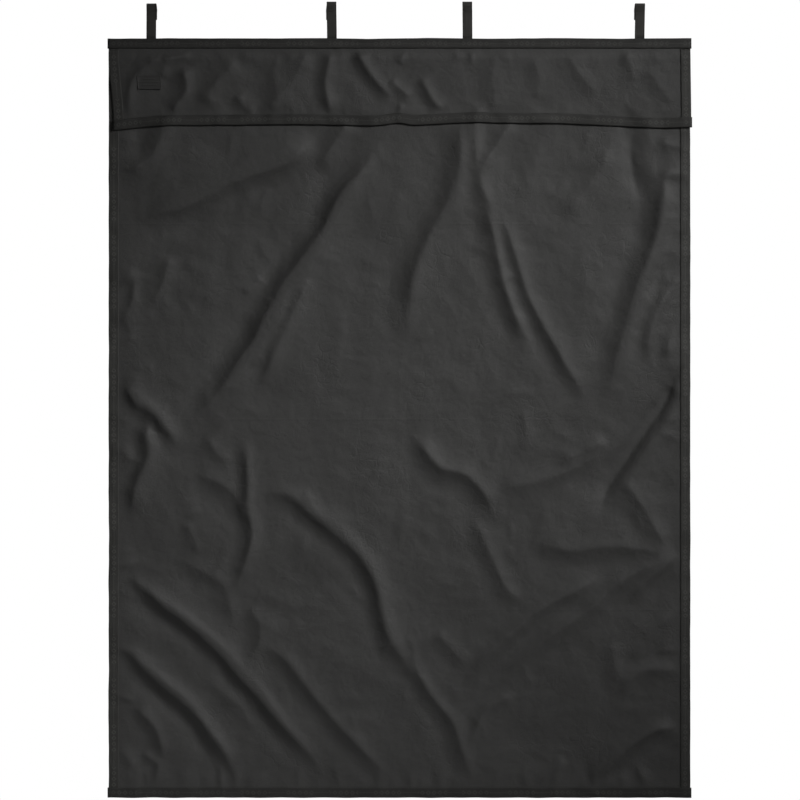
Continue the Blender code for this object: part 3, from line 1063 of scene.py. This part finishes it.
strapShape = {
    "thickness": 0.0015,
    "split": -0.016,  # where the standing leg's piece meets the eye's piece
    "eyeRadius": 0.0078,
    "flare": 104,  # degrees of the eye on each side of its top
    "step": 0.0012,  # spacing of its cross sections
    "softEdge": 0.0005,
    "bow": 0.0005,  # how far the standing leg bows back
    "peelAt": (0, 0.00433, 0.00649),  # the tab's hinge line
    "peelOver": 0.0012,
    "each": (  # per strap: lean, tab's sideways slip, drop of its top
        {"lean": 0.0004, "slip": 0.0026, "drop": 0.0027},
        {"lean": -0.0010, "slip": -0.0022, "drop": -0.0020},
        {"lean": -0.0006, "slip": 0.0004, "drop": -0.0020},
        {"lean": 0.0012, "slip": -0.0030, "drop": 0.0024},
    ),
}


def roundCorners(points, times=3):
    # Chaikin corner cutting
    points = np.array(points, float)
    for _ in range(times):
        first, second = points[:-1], points[1:]
        cut = np.stack([0.75 * first + 0.25 * second, 0.25 * first + 0.75 * second], 1).reshape(-1, 2)
        points = np.vstack([points[:1], cut[1:-1], points[-1:]])
    return points


def webbingPiece(name, route, centre, lean, slip):
    # route is (y, z) along the strap; it's swept across the webbing's width
    steps = np.linalg.norm(np.diff(route, axis=0), axis=1)
    run = np.concatenate([[0], np.cumsum(steps)])
    half = place["halfWebbing"]

    def shape(across, along):
        s = along * run[-1]
        y, z = np.interp(s, run, route[:, 0]), np.interp(s, run, route[:, 1])
        edge = (2 * across - 1) * half
        x = centre + edge + lean * ease((z - place["topZ"]) / 0.09) + slip(y, z)
        return x, y, z, s, edge + half

    rows = max(12, round(run[-1] / strapShape["step"]))
    strap = gridPiece(name, 8, rows, shape, webbingFabric, strapShape["thickness"])
    rounded = strap.modifiers.new("soft edges", "BEVEL")
    rounded.width = strapShape["softEdge"]
    rounded.segments = 2
    rounded.limit_method = "ANGLE"
    rounded.angle_limit = math.radians(50)
    return strap


def bendAtSwing(obj):
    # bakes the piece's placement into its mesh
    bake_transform(obj)


def eyeRoute(legY, drop):
    radius = strapShape["eyeRadius"]
    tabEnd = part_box("tab_1")[0].z
    points = [(-legY, strapShape["split"])]
    for angle in np.radians(np.linspace(-strapShape["flare"], strapShape["flare"], 17)):
        z = radius * math.cos(angle)
        points.append((radius * math.sin(angle), z - drop * max(0.0, z / radius)))
    points += [(legY, -0.0165), (legY, -0.024), (legY, tabEnd)]
    return roundCorners(points)


def makeStrap(number, look):
    low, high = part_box(f"strap_{number}")
    centre = (low.x + high.x) / 2
    anchorLow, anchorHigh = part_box(f"strap_anchor_{number}")
    legY = -(anchorLow.y + anchorHigh.y) / 2
    legZ = np.linspace(anchorLow.z, strapShape["split"], 60)
    bow = strapShape["bow"] * np.sin((legZ - anchorLow.z) * 60)
    bow *= ease((legZ - place["topZ"]) / 0.02) * ease((-0.02 - legZ) / 0.02)
    route = np.stack([bow - legY, legZ], 1)
    leg = webbingPiece(f"strapLeg{number}", route, centre, look["lean"], lambda y, z: 0 * y)
    bendAtSwing(leg)
    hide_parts(f"strap_anchor_{number}", f"strap_{number}")

    def slip(y, z):
        behind = ease((y + 0.004) / 0.009) * np.where(y > 0.0005, 1, 0.0)
        return look["slip"] * behind * ease((0.012 - z) / 0.03)

    eye = webbingPiece(f"strapEye{number}", eyeRoute(legY, look["drop"]), centre, look["lean"], slip)
    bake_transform(eye)
    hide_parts(f"tab_{number}")
    makeStrapSewing(number, centre, legY)
    makePatches(number)


strapSewing = {
    "tack": {"rows": 3, "stitches": 16, "half": 0.0112, "low": 0.0022, "rise": 0.0024, "tilt": 0.7,
             "radius": 0.00045, "length": 0.0030},
    "box": {"half": 0.0095, "top": 0.004, "bottom": 0.006, "pitch": 0.0032,
            "radius": 0.0003, "length": 0.0025},
    "outline": {"half": 0.0083, "side": 0.0095, "radius": 0.0003, "length": 0.0024},
}


def makeStrapSewing(number, centre, legY):
    front = -legY - strapShape["thickness"] / 2
    back = -legY + strapShape["thickness"] / 2
    # bar-tack across the strap's base
    bm = bmesh.new()
    look = strapSewing["tack"]
    for row in range(look["rows"]):
        z = place["topZ"] + look["low"] + row * look["rise"]
        for k in range(look["stitches"]):
            x = centre - look["half"] + k * 2 * look["half"] / (look["stitches"] - 1)
            tilt = look["tilt"] if (k + row) % 2 else -look["tilt"]
            addStitch(bm, Vector((x, front, z)), (tilt, 0, 1), look["radius"], look["length"])
    tack = bmeshPiece(f"barTack{number}", bm, threadFabric)
    bendAtSwing(tack)
    # crossed box that holds the strap's end to the back of the top binding
    bm = bmesh.new()
    look = strapSewing["box"]
    half, high = look["half"], place["topZ"] - look["top"]
    low = place["topZ"] - place["tapeWidth"] + look["bottom"]
    corners = [(-half, low), (half, low), (half, high), (-half, high)]
    lines = [(corners[a], corners[b]) for a, b in ((0, 1), (1, 2), (2, 3), (3, 0), (0, 2), (1, 3))]
    for (ax, az), (bx, bz) in lines:
        count = max(2, round(math.dist((ax, az), (bx, bz)) / look["pitch"]))
        for k in range(count):
            t = (k + 0.5) / count
            at = Vector((centre + ax + (bx - ax) * t, back, az + (bz - az) * t))
            addStitch(bm, at, (bx - ax, 0, bz - az), look["radius"], look["length"])
    box = bmeshPiece(f"boxStitch{number}", bm, threadFabric)
    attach(box, "curtain")
    # outline of the fastener patch, sewn through the standing leg
    bm = bmesh.new()
    look = strapSewing["outline"]
    low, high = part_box(f"loop_patch_{number}")
    for z in (low.z + 0.0015, high.z - 0.0015):
        for x in np.linspace(-look["half"], look["half"], 6):
            addStitch(bm, Vector((centre + x, front, z)), (1, 0, 0), look["radius"], look["length"])
    for x in (-look["side"], look["side"]):
        for z in np.linspace(low.z + 0.003, high.z - 0.003, 5):
            addStitch(bm, Vector((centre + x, front, z)), (0, 0, 1), look["radius"], look["length"])
    outline = bmeshPiece(f"patchStitch{number}", bm, threadFabric)
    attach(outline, "hangers")


patchShape = {"corner": 0.0018, "rim": 0.0003}


def makePatches(number):
    bevel = {"affect": "EDGES", "profile": 0.5, "material": -1}
    for kind, body, fabric in (("loop", "hangers", loopFabric), ("hook", f"tab_body_{number}", hookFabric)):
        low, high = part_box(f"{kind}_patch_{number}")
        bm = bmesh.new()
        bmesh.ops.create_cube(bm, size=1.0)
        bmesh.ops.scale(bm, vec=high - low, verts=bm.verts)
        bmesh.ops.translate(bm, vec=(low + high) / 2, verts=bm.verts)
        upright = [e for e in bm.edges if abs(e.verts[0].co.y - e.verts[1].co.y) > 0.0005]
        bmesh.ops.bevel(bm, geom=upright, offset=patchShape["corner"], segments=4, **bevel)
        rims = [e for e in bm.edges if abs(e.verts[0].co.y - e.verts[1].co.y) < 1e-6]
        bmesh.ops.bevel(bm, geom=rims, offset=patchShape["rim"], segments=2, **bevel)
        patch = bmeshPiece(f"{kind}Patch{number}", bm, fabric)
        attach(patch, body)
        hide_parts(f"{kind}_patch_{number}")


for number, look in enumerate(strapShape["each"], start=1):
    makeStrap(number, look)
print("straps made")


studio = {
    "floorZ": -2.55,
    "floorHalf": 3.5,
    "key": keyLight,
    "fill": {"at": (0.6, -5.0, 1.2), "aim": (0, 0, -0.9), "size": 3.0, "power": 7, "spread": 180},
    "rear": {"at": (-2.8, 2.8, 1.0), "aim": (0, 0, -1), "size": 2.0, "power": 180, "spread": 180},
    "lens": 170,
    "viewWidth": 2.0584,
    "centre": (0.0013, -1.0150),
}


def areaLight(name, look):
    data = bpy.data.lights.new(name, "AREA")
    data.size = look["size"]
    data.energy = look["power"]
    data.spread = math.radians(look["spread"])
    lamp = bpy.data.objects.new(name, data)
    lamp.location = look["at"]
    aim = Vector(look["aim"]) - lamp.location
    lamp.rotation_euler = aim.to_track_quat("-Z", "Y").to_euler()
    lamp.visible_camera = False
    bpy.context.scene.collection.objects.link(lamp)


def makeStudio():
    bm = bmesh.new()
    bmesh.ops.create_grid(bm, x_segments=1, y_segments=1, size=studio["floorHalf"])
    bmesh.ops.translate(bm, vec=(0, 0, studio["floorZ"]), verts=bm.verts)
    pale, shader = startMaterial("pale floor", 0.8, 0.2)
    shader.inputs["Base Color"].default_value = (0.8, 0.8, 0.8, 1)
    floor = bmeshPiece("floor", bm, pale)
    for name in ("key", "fill", "rear"):
        areaLight(name, studio[name])
    world = bpy.data.worlds.new("studio")
    bpy.context.scene.world = world
    world.use_nodes = True
    nodes, links = world.node_tree.nodes, world.node_tree.links
    background = nodes["Background"]
    background.inputs["Color"].default_value = (1, 1, 1, 1)
    seen = nodes.new("ShaderNodeLightPath")
    strength = nodes.new("ShaderNodeMapRange")  # white behind the curtain, dim as a light
    strength.inputs["To Min"].default_value = 0.03
    strength.inputs["To Max"].default_value = 1.0
    links.new(seen.outputs["Is Camera Ray"], strength.inputs["Value"])
    links.new(strength.outputs[0], background.inputs["Strength"])
    bpy.context.scene.view_settings.view_transform = "Standard"


def makeCamera():
    data = bpy.data.cameras.new("camera")
    data.lens = studio["lens"]
    data.clip_end = 100
    camera = bpy.data.objects.new("camera", data)
    x, z = studio["centre"]
    distance = studio["viewWidth"] * data.lens / data.sensor_width
    camera.location = (x, place["clothY"] - distance, z)
    camera.rotation_euler = (math.radians(90), 0, 0)
    bpy.context.scene.collection.objects.link(camera)
    bpy.context.scene.camera = camera


makeStudio()
makeCamera()
print("studio ready")
